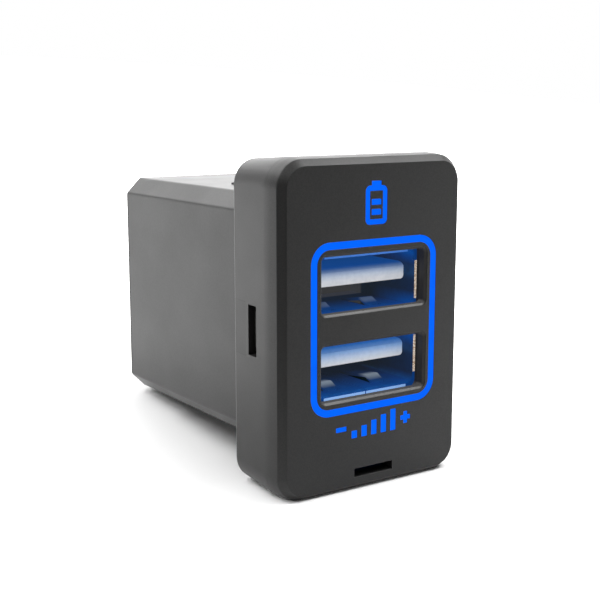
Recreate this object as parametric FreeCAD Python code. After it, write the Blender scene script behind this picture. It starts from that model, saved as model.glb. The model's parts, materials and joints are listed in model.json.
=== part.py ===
import FreeCAD, Part
import math
import os

# Dual USB-A charger that fills a spare switch place in a car's dashboard, in millimetres.
# The origin is the middle of the collar's rear rim, which seats on the dashboard panel.
# +X is to the right as the face is seen, +Y goes into the dashboard and +Z is up.

Vector = FreeCAD.Vector

# Front bezel: face and collar
collar_width = 23.0
collar_step = 4.2
collar_depth = 9.1
collar_draft = 0.4
collar_corner_radius = 3.0
collar_wall = 1.0
rim_chamfer = 0.2
face_chamfer = 0.8
face_chamfer_depth = 0.8
shoulder_length = 2.1
shoulder_draw = 0.17
shoulder_steps = 2
face_thickness = 1.8

# Front bezel: the two port openings in the face
port_side_margin = 0.5
port_end_margin = 0.6
port_opening_height = 6.2
port_opening_corner = 0.7
port_opening_chamfer = 0.25
port_lip = 1.0
field_centre_z = 0.1

# Front bezel: windows and slots
pry_slot_width = 4.9
pry_slot_height = 0.9
pry_slot_edge = 2.05
snap_window_length = 5.1
snap_window_width = 1.65
snap_window_lead = 0.2
snap_window_centre_z = -0.1
snap_lead_in_depth = 0.3

# Front bezel: what is moulded behind the face
stop_rib_thickness = 1.0
stop_rib_gap = 0.4
stop_rib_half_spacing = 6.0
post_side_gap = 1.7
post_upper_edge = 1.7
post_lower_edge = 1.6
post_radius = 0.7
post_boss_radius = 1.2
post_tip = 0.35
housing_gap = 0.15

# Light ring and its groove
ring_side_margin = 0.4
ring_end_margin = 0.45
ring_stroke = 0.75
ring_corner_radius = 2.2
ring_depth = 0.5
ring_leg_length = 2.6
ring_leg_reach = 0.4
ring_side_leg_z = 4.4
lens_clearance = 0.03

# Battery symbol above the ports
symbol_drop = 0.375
battery_width = 2.7
battery_share = 0.522
battery_stroke = 0.55
battery_corner = 0.55
battery_cap_width = 1.2
battery_cap_height = 0.45
battery_bar_height = 0.6
battery_bar_gap = 0.4
battery_bars = 2

# Row of level marks below the ports
marks_gap = 0.4
marks_height = 2.3
mark_width = 0.7
mark_pitch = 1.25
mark_count = 5
mark_lowest = 0.8
sign_size = 1.3
sign_stroke = 0.5
sign_gap = 0.65
lens_back_thickness = 0.5
lens_back_margin = 0.3

# Lamp board and its lamps
lamp_board_thickness = 1.0
lamp_board_margin = 0.4
lamp_board_above_symbol = 0.9
lamp_board_below_marks = 2.0
lamp_board_corner = 1.0
lamp_length = 1.6
lamp_width = 0.8
lamp_height = 0.6
lamp_base_height = 0.2
lamp_dome_inset = 0.15
lamp_gap = 0.3
post_hole_clearance = 0.1

# Rear housing
body_clearance = 0.1
body_height = 25.8
body_chamfer = 1.75
body_edge_round = 0.5
body_rear_chamfer = 0.4
body_wall = 1.2
rear_wall = 1.2
flange_thickness = 1.2
flange_recess = 0.3
board_rail_width = 0.6
board_rail_height = 0.9
board_clearance = 0.1

# Snap hooks of the housing, seated in the bezel's side windows
hook_clearance = 0.15
hook_height = 0.6
hook_slot_width = 0.6

# Spring latches that hold the body behind the dashboard panel
panel_thickness = 2.4
latch_width = 9.6
latch_height = 1.1
latch_toe_height = 0.2
latch_length = 8.4
latch_slot_width = 0.6
latch_slot_length = 7.2

# Stacked USB-A socket: stamped shell
socket_inner_width = 12.5
socket_inner_height = 13.9
socket_centre_z = 0.05
socket_setback = 1.45
socket_length = 16.6
socket_clearance = 0.25
sheet = 0.3
socket_corner_radius = 0.9
socket_lip = 0.4
socket_lip_half_width = 5.3
socket_lip_half_height = 2.0
socket_lip_end_margin = 1.0
socket_lip_flare = 0.2
socket_seam_gap = 0.12
socket_leg_width = 1.6
socket_leg_overhang = 1.0
socket_front_leg = 6.0
socket_rear_leg = 13.0
socket_standoff = 0.25

# Contact springs cut from the shell's walls
spring_width = 1.6
spring_length = 6.0
spring_rise = 0.6
spring_bump = 1.5
spring_tip_corner = 0.35
spring_slot = 0.25
spring_setback = 1.7
spring_half_spacing = 3.05

# Divider between the two ports
divider_top_z = 1.25
divider_bottom_z = -1.7
divider_setback = 0.15
divider_side_gap = 0.05
divider_spring_length = 4.6
divider_spring_setback = 2.75

# Insulator with a tongue for each port
tongue_side_gap = 0.7
tongue_thickness = 1.84
tongue_centre_z = 0.86
tongue_spread = 1.25
tongue_setback = 0.95
tongue_edge_radius = 0.4
tongue_lead_in = 0.45
insulator_gap = 0.05
insulator_depth = 4.6

# Contacts on the tongues
contact_spacings = (-3.5, -1.0, 1.0, 3.5)
contact_width = 1.0
contact_thickness = 0.25
contact_setback = 0.6
contact_clearance = 0.05
contact_tail_length = 0.9
contact_tail_width = 0.5
contact_row_inset = 1.6
pin_hole_clearance = 0.15

# Main board
main_board_thickness = 1.2
main_board_gap = 0.2
under_board_gap = 0.65
main_board_tab_width = 2.4
main_board_tab_spacing = 4.6
main_board_tab_reach = 0.8

# Power inlet at the rear
inlet_width = 7.8
inlet_height = 6.8
inlet_length = 11.4
inlet_wall = 0.7
inlet_depth = 8.0
inlet_recess = 0.3
inlet_side_gap = 0.8
inlet_gap = 1.15
inlet_pin = 1.1
inlet_pin_pitch = 3.96
inlet_pin_recess = 2.8
inlet_pin_taper = 0.25
inlet_keyway_width = 2.4
inlet_clearance = 0.15

# Parts on the main board
inductor_size = 4.0
inductor_height = 3.0
inductor_corner = 0.9
inductor_foot = 0.4
inductor_side_gap = 0.8
inductor_rear_gap = 4.0
can_radius = 2.1
input_can_height = 9.0
output_can_height = 7.0
can_base = 0.5
can_gap = 0.9
can_spacing = 0.2
chip_length = 4.9
chip_width = 3.9
chip_height = 1.5
chip_stand_off = 0.2
chip_lead_count = 4
chip_lead_pitch = 1.27
chip_lead_width = 0.4
chip_lead_reach = 1.0
chip_spacing = 0.4
chip_gap = 1.2
diode_length = 4.3
diode_width = 2.6
diode_height = 2.1
diode_cap = 0.5
diode_gap = 0.9
fuse_length = 3.2
fuse_width = 1.6
fuse_height = 0.9
fuse_cap = 0.5
cap_relief = 0.1

# Planes along Y, from the face to the rear
face_y = -collar_depth
plate_back_y = face_y + face_thickness
lamp_front_y = plate_back_y + ring_leg_reach + lamp_gap
lamp_board_y = lamp_front_y + lamp_height
lamp_board_back_y = lamp_board_y + lamp_board_thickness
housing_front_y = lamp_board_back_y + post_tip + housing_gap
snap_window_y = housing_front_y - snap_window_lead
flange_y = -flange_recess - flange_thickness
socket_front_y = face_y + socket_setback
socket_back_y = socket_front_y + socket_length
insulator_back_y = socket_back_y - sheet - 3 * contact_thickness
insulator_front_y = insulator_back_y - insulator_depth
tongue_front_y = socket_front_y + tongue_setback
lower_tail_y = insulator_back_y - contact_row_inset
upper_tail_y = insulator_back_y + contact_clearance
can_row_y = socket_back_y + can_gap + can_radius
inlet_front_y = can_row_y + can_radius + inlet_gap
body_length = inlet_front_y + inlet_length + inlet_recess
board_rear_y = body_length - rear_wall - main_board_gap
inlet_tail_y = inlet_front_y + (inlet_length - inlet_depth) / 2
inductor_y = board_rear_y - inductor_rear_gap - inductor_size / 2
chip_y = socket_back_y + chip_gap + chip_length / 2
diode_y = inlet_tail_y + inlet_pin / 2 + diode_gap + diode_length / 2

# Heights along Z
socket_outer_height = socket_inner_height + 2 * sheet
socket_bottom_z = socket_centre_z - socket_outer_height / 2
board_top_z = socket_bottom_z - socket_standoff
board_bottom_z = board_top_z - main_board_thickness
body_bottom_z = board_bottom_z - diode_height - under_board_gap - body_wall
body_top_z = body_bottom_z + body_height
body_centre_z = (body_top_z + body_bottom_z) / 2
inner_height = body_height - 2 * body_wall
collar_height = body_height + 2 * collar_step
cavity_height = collar_height - 2 * (collar_draft + collar_wall)
port_pitch = socket_inner_height + 2 * port_end_margin - port_opening_height
port_centres = (field_centre_z + port_pitch / 2, field_centre_z - port_pitch / 2)
tongue_pitch = socket_inner_height / 2 + tongue_spread
ring_height = port_pitch + port_opening_height + 2 * (ring_end_margin + ring_stroke)
ring_middle_z = ring_height / 2 - ring_stroke / 2
ring_top_z = field_centre_z + ring_height / 2
symbol_room_top_z = collar_height / 2 - face_chamfer
symbol_centre_z = (ring_top_z + symbol_room_top_z) / 2 - symbol_drop
battery_height = battery_share * (symbol_room_top_z - ring_top_z)
marks_centre_z = field_centre_z - ring_height / 2 - marks_gap - marks_height / 2
pry_slot_z = pry_slot_edge - collar_height / 2
lamp_board_top_z = symbol_centre_z + lamp_board_above_symbol
lamp_board_bottom_z = marks_centre_z - lamp_board_below_marks
inlet_centre_z = board_top_z + inlet_height / 2

# Widths and places along X
cavity_width = collar_width - 2 * (collar_draft + collar_wall)
cavity_radius = collar_corner_radius - collar_draft - collar_wall
body_width = cavity_width - 2 * body_clearance
inner_width = body_width - 2 * body_wall
inner_chamfer = body_chamfer - body_wall * (2 - math.sqrt(2))
board_width = inner_width - 2 * board_clearance
socket_outer_width = socket_inner_width + 2 * sheet
tongue_width = socket_inner_width - 2 * tongue_side_gap
port_opening_width = socket_inner_width + 2 * port_side_margin
ring_width = port_opening_width + 2 * (ring_side_margin + ring_stroke)
ring_middle_x = ring_width / 2 - ring_stroke / 2
sign_offset = ((mark_count - 1) * mark_pitch + mark_width + sign_size) / 2 + sign_gap
post_x = cavity_width / 2 - post_side_gap
inlet_centre_x = inlet_side_gap + inlet_width / 2 - inner_width / 2
inductor_x = inner_width / 2 - inductor_side_gap - inductor_size / 2
can_pitch = 2 * can_radius + can_spacing
chip_x = (chip_width + chip_spacing) / 2 + chip_lead_reach


def block(x, y, z):
    """A rectangular block from three (low, high) pairs."""
    corner = Vector(min(x), min(y), min(z))
    return Part.makeBox(abs(x[1] - x[0]), abs(y[1] - y[0]), abs(z[1] - z[0]), corner)


def polygon_prism(points, sweep):
    """A flat outline through the points, carried along the sweep."""
    wire = Part.makePolygon([Vector(*point) for point in points + points[:1]])
    return Part.Face(wire).extrude(Vector(*sweep))


def rounded_wire(width, height, radius, y, x=0.0, z=0.0):
    """A rounded rectangle in the plane of one y, about the point x, z."""
    corners = []
    for quarter, (side_x, side_z) in enumerate(((1, 1), (-1, 1), (-1, -1), (1, -1))):
        middle = Vector(x + side_x * (width / 2 - radius), y, z + side_z * (height / 2 - radius))
        points = []
        for step in range(3):
            angle = quarter * math.pi / 2 + step * math.pi / 4
            points.append(middle + Vector(math.cos(angle), 0, math.sin(angle)) * radius)
        corners.append(points)
    edges = []
    for points, following in zip(corners, corners[1:] + corners[:1]):
        edges.append(Part.Arc(*points).toShape())
        edges.append(Part.LineSegment(points[-1], following[0]).toShape())
    return Part.Wire(edges)


def rounded_prism(width, height, radius, y_low, y_high, x=0.0, z=0.0):
    """A rounded rectangle carried along Y."""
    wire = rounded_wire(width, height, radius, y_low, x, z)
    return Part.Face(wire).extrude(Vector(0, y_high - y_low, 0))


def chamfered_prism(width, height, chamfer, y_low, y_high):
    """The body's section, a rectangle with chamfered corners, carried along Y."""
    half_x = width / 2
    half_z = height / 2
    corners = []
    for side_x, side_z in ((1, 1), (-1, 1), (-1, -1), (1, -1)):
        on_side = Vector(side_x * half_x, y_low, body_centre_z + side_z * (half_z - chamfer))
        on_end = Vector(side_x * (half_x - chamfer), y_low, body_centre_z + side_z * half_z)
        corners += [on_side, on_end] if side_x * side_z > 0 else [on_end, on_side]
    wire = Part.makePolygon(corners + corners[:1])
    return Part.Face(wire).extrude(Vector(0, y_high - y_low, 0))


def edges_along_y(shape):
    """The edges that run straight along Y."""
    return [edge for edge in shape.Edges if edge.BoundBox.YLength > edge.BoundBox.DiagonalLength * 0.999]


def edges_at_y(shape, y):
    """The edges that lie in the plane of one y."""
    near = 0.001
    return [e for e in shape.Edges if abs(e.BoundBox.YMin - y) < near and abs(e.BoundBox.YMax - y) < near]


def collar_wire(y, drawn_in):
    """The collar's outline, drawn in by a distance on every side."""
    radius = collar_corner_radius - drawn_in
    return rounded_wire(collar_width - 2 * drawn_in, collar_height - 2 * drawn_in, radius, y)


def collar_sections():
    """The collar's section from the face to the rim: pairs of y and how far the outline is drawn in."""
    turn = 2 * math.atan(shoulder_draw / shoulder_length)
    radius = shoulder_length / math.sin(turn)
    widest_y = face_y + face_chamfer_depth + shoulder_length
    sections = [(face_y, face_chamfer)]
    for step in range(shoulder_steps + 1):
        angle = turn * (1 - step / shoulder_steps)
        sections.append((widest_y - radius * math.sin(angle), radius * (1 - math.cos(angle))))
    return sections + [(-rim_chamfer, collar_draft), (0, collar_draft + rim_chamfer)]


def collar_form():
    """The bezel's outside: a chamfered face, a gently bowed shoulder, drafted sides and a chamfered rim."""
    return Part.makeLoft([collar_wire(y, drawn_in) for y, drawn_in in collar_sections()], True, True)


def port_opening(centre_z):
    """One port's way through the face, with a small chamfer at its mouth."""
    chamfer = port_opening_chamfer
    width = port_opening_width
    height = port_opening_height
    radius = port_opening_corner
    mouth = rounded_wire(width, height, radius, face_y, 0, centre_z)
    throat_y = face_y + chamfer
    throat_size = (width - 2 * chamfer, height - 2 * chamfer, radius - chamfer)
    throat = rounded_wire(*throat_size, throat_y, 0, centre_z)
    through = rounded_prism(*throat_size, throat_y, plate_back_y, 0, centre_z)
    return Part.makeLoft([mouth, throat], True, True).fuse(through)


def ring_band(stroke_gap, y_low, y_high):
    """The ring's band between its outer and inner outlines, narrowed by a gap on both edges."""
    stroke = ring_stroke - stroke_gap
    outer = rounded_prism(
        ring_width - 2 * stroke_gap,
        ring_height - 2 * stroke_gap,
        ring_corner_radius - stroke_gap,
        y_low,
        y_high,
        0,
        field_centre_z,
    )
    inner = rounded_prism(
        ring_width - 2 * stroke,
        ring_height - 2 * stroke,
        ring_corner_radius - stroke,
        y_low,
        y_high,
        0,
        field_centre_z,
    )
    return outer.cut(inner)


def ring_leg_places():
    """Where the ring's legs pass through the face: the middle x and z, and whether the leg lies along Z."""
    places = []
    for side in (-1, 1):
        for level in (-1, 1):
            places.append((side * ring_middle_x, field_centre_z + level * ring_side_leg_z, True))
        places.append((0, field_centre_z + side * ring_middle_z, False))
    return places


def ring_leg(place, gap, y_low, y_high):
    """One leg of the ring, or its slot when the gap is zero."""
    x, z, upright = place
    half_long = ring_leg_length / 2 - gap
    half_short = ring_stroke / 2 - gap
    half_x = half_short if upright else half_long
    half_z = half_long if upright else half_short
    return block((x - half_x, x + half_x), (y_low, y_high), (z - half_z, z + half_z))


def centred_block(width, height, y_low, y_high, x, z):
    """A block whose middle, seen from the front, is at the point x, z."""
    return block((x - width / 2, x + width / 2), (y_low, y_high), (z - height / 2, z + height / 2))


def battery_outline(gap, y_low, y_high):
    """The battery symbol's outline, narrowed by a gap."""
    width = battery_width - 2 * gap
    height = battery_height - 2 * gap
    outer = rounded_prism(width, height, battery_corner - gap, y_low, y_high, 0, symbol_centre_z)
    stroke = battery_stroke - gap
    inside = centred_block(
        battery_width - 2 * stroke, battery_height - 2 * stroke, y_low, y_high, 0, symbol_centre_z
    )
    return outer.cut(inside)


def battery_fills(gap, y_low, y_high):
    """The battery symbol's cap and charge bars, which pass right through the face."""
    top_z = symbol_centre_z + battery_height / 2
    cap_height = battery_cap_height + battery_stroke
    cap_z = top_z - battery_stroke + cap_height / 2
    fills = [centred_block(battery_cap_width - 2 * gap, cap_height - 2 * gap, y_low, y_high, 0, cap_z)]
    bar_width = battery_width - 2 * battery_stroke - battery_bar_gap - 2 * gap
    bar_height = battery_bar_height - 2 * gap
    first_z = symbol_centre_z - battery_height / 2 + battery_stroke + battery_bar_gap + battery_bar_height / 2
    for number in range(battery_bars):
        bar_z = first_z + number * (battery_bar_height + battery_bar_gap)
        fills.append(centred_block(bar_width, bar_height, y_low, y_high, 0, bar_z))
    return fills


def level_marks(gap, y_low, y_high):
    """The level marks: bars that rise to the right, between a minus and a plus sign."""
    foot_z = marks_centre_z - marks_height / 2
    shapes = []
    for number in range(mark_count):
        x = (number - (mark_count - 1) / 2) * mark_pitch
        height = mark_lowest + (marks_height - mark_lowest) * number / (mark_count - 1)
        mark = centred_block(mark_width - 2 * gap, height - 2 * gap, y_low, y_high, x, foot_z + height / 2)
        shapes.append(mark)
    long_side = sign_size - 2 * gap
    short_side = sign_stroke - 2 * gap
    for side in (-1, 1):
        x = side * sign_offset
        sign = centred_block(long_side, short_side, y_low, y_high, x, marks_centre_z)
        if side > 0:
            bar = centred_block(short_side, long_side, y_low, y_high, x, marks_centre_z)
            sign = sign.fuse(bar).removeSplitter()
        shapes.append(sign)
    return shapes


def post_places():
    """Where the two posts for the lamp board stand, at opposite corners of it."""
    return [(-post_x, lamp_board_top_z - post_upper_edge), (post_x, lamp_board_bottom_z + post_lower_edge)]


def along_y(radius, y_low, y_high, x, z):
    """A round bar along Y."""
    return Part.makeCylinder(radius, y_high - y_low, Vector(x, y_low, z), Vector(0, 1, 0))


def upright(radius, z_low, z_high, x, y):
    """A round bar along Z."""
    return Part.makeCylinder(radius, z_high - z_low, Vector(x, y, z_low), Vector(0, 0, 1))


def front_bezel():
    """The moulded bezel, open at its rear rim."""
    form = collar_form()
    form = form.cut(rounded_prism(cavity_width, cavity_height, cavity_radius, plate_back_y, 0))
    cuts = [port_opening(z) for z in port_centres]
    pocket_y = face_y + port_lip
    cuts.append(
        rounded_prism(
            socket_outer_width + 2 * socket_clearance,
            socket_outer_height + 2 * (socket_lip_flare + socket_clearance),
            socket_corner_radius,
            pocket_y,
            plate_back_y,
            0,
            socket_centre_z,
        )
    )
    cuts.append(ring_band(0, face_y, face_y + ring_depth))
    cuts += [ring_leg(place, 0, face_y, plate_back_y) for place in ring_leg_places()]
    cuts.append(battery_outline(0, face_y, face_y + ring_depth))
    cuts += battery_fills(0, face_y, plate_back_y)
    cuts += level_marks(0, face_y, plate_back_y)
    cuts.append(centred_block(pry_slot_width, pry_slot_height, face_y, plate_back_y, 0, pry_slot_z))
    window_y = (snap_window_y, snap_window_y + snap_window_width)
    window_z = (snap_window_centre_z - snap_window_length / 2, snap_window_centre_z + snap_window_length / 2)
    for side in (-1, 1):
        inside = side * cavity_width / 2
        cuts.append(block((inside, side * collar_width / 2), window_y, window_z))
        cuts.append(block((inside, inside + side * snap_lead_in_depth), (window_y[1], 0), window_z))
    form = form.cut(cuts)
    bosses = []
    for side_x in (-1, 1):
        rib_x = side_x * stop_rib_half_spacing
        rib_half = stop_rib_thickness / 2
        for edge_z in (lamp_board_bottom_z - stop_rib_gap, lamp_board_top_z + stop_rib_gap):
            rib_z = (edge_z, math.copysign(cavity_height / 2, edge_z))
            bosses.append(block((rib_x - rib_half, rib_x + rib_half), (plate_back_y, flange_y), rib_z))
    for x, z in post_places():
        boss = along_y(post_boss_radius, plate_back_y, lamp_board_y, x, z)
        post = along_y(post_radius, plate_back_y, lamp_board_back_y + post_tip, x, z)
        bosses += [boss, post]
    return form.fuse(bosses).removeSplitter()


def ring_light():
    """The translucent ring in the face, with legs that lead the light from the lamps."""
    ring = ring_band(lens_clearance, face_y, face_y + ring_depth)
    legs = [ring_leg(p, lens_clearance, face_y, plate_back_y + ring_leg_reach) for p in ring_leg_places()]
    return ring.fuse(legs).removeSplitter()


def lens_with_back(shapes):
    """Small windows that pass through the face and share one plate behind it."""
    bounds = Part.makeCompound(shapes).BoundBox
    back = block(
        (bounds.XMin - lens_back_margin, bounds.XMax + lens_back_margin),
        (plate_back_y, plate_back_y + lens_back_thickness),
        (bounds.ZMin - lens_back_margin, bounds.ZMax + lens_back_margin),
    )
    return back.fuse(shapes).removeSplitter()


def symbol_lens():
    """The battery symbol's window."""
    outline = battery_outline(lens_clearance, face_y, face_y + ring_depth)
    return lens_with_back([outline] + battery_fills(lens_clearance, face_y, plate_back_y))


def marks_lens():
    """The level marks' window."""
    return lens_with_back(level_marks(lens_clearance, face_y, plate_back_y))


def main_board_tabs(gap):
    """The two tabs by which the main board is soldered into the lamp board."""
    tabs = []
    for side in (-1, 1):
        x = side * main_board_tab_spacing
        half = main_board_tab_width / 2 + gap
        y = (housing_front_y - main_board_gap - main_board_tab_reach - gap, housing_front_y)
        tabs.append(block((x - half, x + half), y, (board_bottom_z - gap, board_top_z + gap)))
    return tabs


def lamp_board():
    """The small board behind the face, open in the middle for the socket."""
    width = cavity_width - 2 * lamp_board_margin
    height = lamp_board_top_z - lamp_board_bottom_z
    back_y = lamp_board_back_y
    middle_z = (lamp_board_top_z + lamp_board_bottom_z) / 2
    board = rounded_prism(width, height, lamp_board_corner, lamp_board_y, back_y, 0, middle_z)
    opening_width = socket_outer_width + 2 * socket_clearance
    opening_height = socket_outer_height + 2 * socket_clearance
    cuts = [
        rounded_prism(
            opening_width, opening_height, socket_corner_radius, lamp_board_y, back_y, 0, socket_centre_z
        )
    ]
    for x, z in post_places():
        cuts.append(along_y(post_radius + post_hole_clearance, lamp_board_y, back_y, x, z))
    return board.cut(cuts + main_board_tabs(board_clearance))


def lamp(place):
    """One surface-mount lamp, with its clear dome towards the face and its long side along its leg."""
    x, z, is_upright = place
    half_x = (lamp_width if is_upright else lamp_length) / 2
    half_z = (lamp_length if is_upright else lamp_width) / 2
    base_y = lamp_board_y - lamp_base_height
    base = block((x - half_x, x + half_x), (base_y, lamp_board_y), (z - half_z, z + half_z))
    inset = lamp_dome_inset
    dome_x = (x - half_x + (0 if is_upright else inset), x + half_x - (0 if is_upright else inset))
    dome_z = (z - half_z + (inset if is_upright else 0), z + half_z - (inset if is_upright else 0))
    dome = block(dome_x, (lamp_front_y, base_y), dome_z)
    return base.fuse(dome).removeSplitter()


def lamp_places():
    """A lamp behind each leg of the ring, one behind the symbol and one behind the marks."""
    return ring_leg_places() + [(0, symbol_centre_z, True), (0, marks_centre_z, False)]


def snap_hook(side):
    """A hook on the housing's side, seated in the bezel's window."""
    root_x = body_width / 2
    front_y = snap_window_y + hook_clearance
    rear_y = snap_window_y + snap_window_width - hook_clearance
    half = snap_window_length / 2 - hook_clearance
    points = [
        (side * (root_x - body_wall / 2), front_y, snap_window_centre_z - half),
        (side * root_x, front_y, snap_window_centre_z - half),
        (side * (root_x + hook_height), (front_y + rear_y) / 2, snap_window_centre_z - half),
        (side * (root_x + hook_height), rear_y, snap_window_centre_z - half),
        (side * (root_x - body_wall / 2), rear_y, snap_window_centre_z - half),
    ]
    return polygon_prism(points, (0, 0, 2 * half))


def hook_slots(side):
    """The two slots beside a hook, so that it springs in."""
    slots = []
    x = (side * inner_width / 2, side * body_width / 2)
    for end in (-1, 1):
        edge = snap_window_centre_z + end * snap_window_length / 2
        slots.append(block(x, (housing_front_y, flange_y), (edge, edge + end * hook_slot_width)))
    return slots


def latch_ramp(side):
    """The wedge of a spring latch, steep towards the panel and low towards the rear."""
    wall_z = body_top_z if side > 0 else body_bottom_z
    half = latch_width / 2
    root = wall_z - side * body_wall / 2
    points = [
        (-half, panel_thickness, root),
        (-half, panel_thickness, wall_z + side * latch_height),
        (-half, panel_thickness + latch_length, wall_z + side * latch_toe_height),
        (-half, panel_thickness + latch_length, root),
    ]
    return polygon_prism(points, (latch_width, 0, 0))


def latch_slots(side):
    """The slot on three sides of a latch, open round its free front end."""
    wall_z = (body_top_z, body_top_z - body_wall) if side > 0 else (body_bottom_z, body_bottom_z + body_wall)
    half = latch_width / 2
    outer = half + latch_slot_width
    front_y = panel_thickness - 2 * latch_slot_width
    slots = [block((-outer, outer), (front_y, front_y + latch_slot_width), wall_z)]
    for end in (-1, 1):
        slots.append(block((end * half, end * outer), (front_y, front_y + latch_slot_length), wall_z))
    return slots


def board_rails():
    """Four ribs inside the housing that grip the main board's edges behind the socket."""
    rear_y = body_length - rear_wall
    over = board_top_z + board_clearance
    under = board_bottom_z - board_clearance - board_rail_height
    rails = []
    for side in (-1, 1):
        x = (side * (inner_width / 2 - board_rail_width), side * inner_width / 2)
        rails.append(block(x, (inlet_front_y, rear_y), (over, over + board_rail_height)))
        rails.append(block(x, (socket_back_y + can_gap, rear_y), (under, under + board_rail_height)))
    return rails


def rear_housing():
    """The moulded housing: a chamfered box with a closed rear wall, a flange and its snaps."""
    body = chamfered_prism(body_width, body_height, body_chamfer, housing_front_y, body_length)
    body = body.makeFillet(body_edge_round, edges_along_y(body))
    body = body.makeChamfer(body_rear_chamfer, edges_at_y(body, body_length))
    flange = rounded_prism(
        cavity_width - 2 * body_clearance,
        cavity_height - 2 * body_clearance,
        cavity_radius - body_clearance,
        flange_y,
        -flange_recess,
    )
    for piece in (flange, snap_hook(-1), snap_hook(1), latch_ramp(-1), latch_ramp(1)):
        body = body.fuse(piece)
    inside_back_y = body_length - rear_wall
    inside = chamfered_prism(inner_width, inner_height, inner_chamfer, housing_front_y, inside_back_y)
    inlet_hole = centred_block(
        inlet_width + 2 * inlet_clearance,
        inlet_height + 2 * inlet_clearance,
        body_length - rear_wall,
        body_length,
        inlet_centre_x,
        inlet_centre_z,
    )
    body = body.cut(inside).cut(inlet_hole)
    for side in (-1, 1):
        for slot in hook_slots(side) + latch_slots(side):
            body = body.cut(slot)
    return body.fuse(board_rails()).removeSplitter()


def spring_arm(length):
    """A contact spring lying on a wall at z 0: rooted at the rear, bowed inwards near its free front tip."""
    line = [
        (length + spring_slot, 0),
        (length, 0),
        (spring_bump, spring_rise),
        (spring_bump - spring_slot, spring_rise),
        (0, 0),
    ]
    upper = [(-spring_width / 2, y, rise) for y, rise in line]
    lower = [(-spring_width / 2, y, rise - sheet) for y, rise in reversed(line)]
    arm = polygon_prism(upper + lower, (spring_width, 0, 0))
    tip_edges = [edge for edge in edges_at_y(arm, 0) if edge.BoundBox.XLength < sheet]
    return arm.makeChamfer(spring_tip_corner, tip_edges)


def spring_window(length):
    """The slot that is punched round a contact spring."""
    half = spring_width / 2 + spring_slot
    return block((-half, half), (-spring_slot, length), (-sheet, 0))


def spring_places():
    """Each spring's place on the shell's floor and roof: x, z and its turn about Y."""
    half_z = socket_inner_height / 2
    places = []
    for side in (-1, 1):
        places.append((side * spring_half_spacing, socket_centre_z - half_z, 0))
        places.append((side * spring_half_spacing, socket_centre_z + half_z, 180))
    return places


def placed_on_wall(shape, place):
    """A shape made on the wall at z 0, turned about Y and moved to its wall."""
    x, z, turn = place
    shape.rotate(Vector(0, 0, 0), Vector(0, 1, 0), turn)
    shape.translate(Vector(x, socket_front_y + spring_setback, z))
    return shape


def socket_leg(side, y):
    """A leg of the shell that goes down through the main board."""
    wall = side * socket_inner_width / 2
    half = socket_leg_width / 2
    low = board_bottom_z - socket_leg_overhang
    return block((wall, wall + side * sheet), (y - half, y + half), (low, socket_centre_z))


def socket_leg_places():
    """The side and the y of each leg of the shell."""
    ys = (socket_front_y + socket_front_leg, socket_front_y + socket_rear_leg)
    return [(side, y) for side in (-1, 1) for y in ys]


def mouth_lips(edge_y):
    """The tabs at the shell's mouth: one beside each port at each side, one above and a flared one below."""
    lips = []
    reach = socket_inner_height / 2 - socket_lip_end_margin - socket_lip_half_height
    for side in (-1, 1):
        wall = side * socket_inner_width / 2
        for level in (-1, 1):
            z = socket_centre_z + level * reach
            lip_z = (z - socket_lip_half_height, z + socket_lip_half_height)
            lips.append(block((wall, wall + side * sheet), (socket_front_y, edge_y), lip_z))
    half = socket_lip_half_width
    roof_z = socket_centre_z + socket_inner_height / 2
    lips.append(block((-half, half), (socket_front_y, edge_y), (roof_z, roof_z + sheet)))
    floor_z = socket_centre_z - socket_inner_height / 2
    outline = [
        (-half, edge_y, floor_z),
        (-half, socket_front_y, floor_z - socket_lip_flare),
        (-half, socket_front_y, floor_z - socket_lip_flare - sheet),
        (-half, edge_y, floor_z - sheet),
    ]
    return lips + [polygon_prism(outline, (2 * half, 0, 0))]


def usb_shell():
    """The stamped shell of the stacked socket, with lips at its mouth and springs in its walls."""
    radius = socket_corner_radius
    edge_y = socket_front_y + socket_lip
    tube = rounded_prism(
        socket_outer_width, socket_outer_height, radius, edge_y, socket_back_y, 0, socket_centre_z
    )
    inside = rounded_prism(
        socket_inner_width,
        socket_inner_height,
        radius - sheet,
        edge_y,
        socket_back_y - sheet,
        0,
        socket_centre_z,
    )
    cuts = [inside]
    floor_z = (socket_bottom_z - socket_lip_flare, socket_bottom_z + sheet)
    seam = socket_seam_gap / 2
    cuts.append(block((-seam, seam), (socket_front_y, insulator_front_y), floor_z))
    floor_half = socket_inner_width / 2 - radius
    cuts.append(block((-floor_half, floor_half), (insulator_front_y, socket_back_y), floor_z))
    arms = []
    for place in spring_places():
        cuts.append(placed_on_wall(spring_window(spring_length), place))
        arms.append(placed_on_wall(spring_arm(spring_length), place))
    legs = [socket_leg(side, y) for side, y in socket_leg_places()]
    return tube.fuse(legs + mouth_lips(edge_y)).cut(cuts).fuse(arms).removeSplitter()


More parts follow.
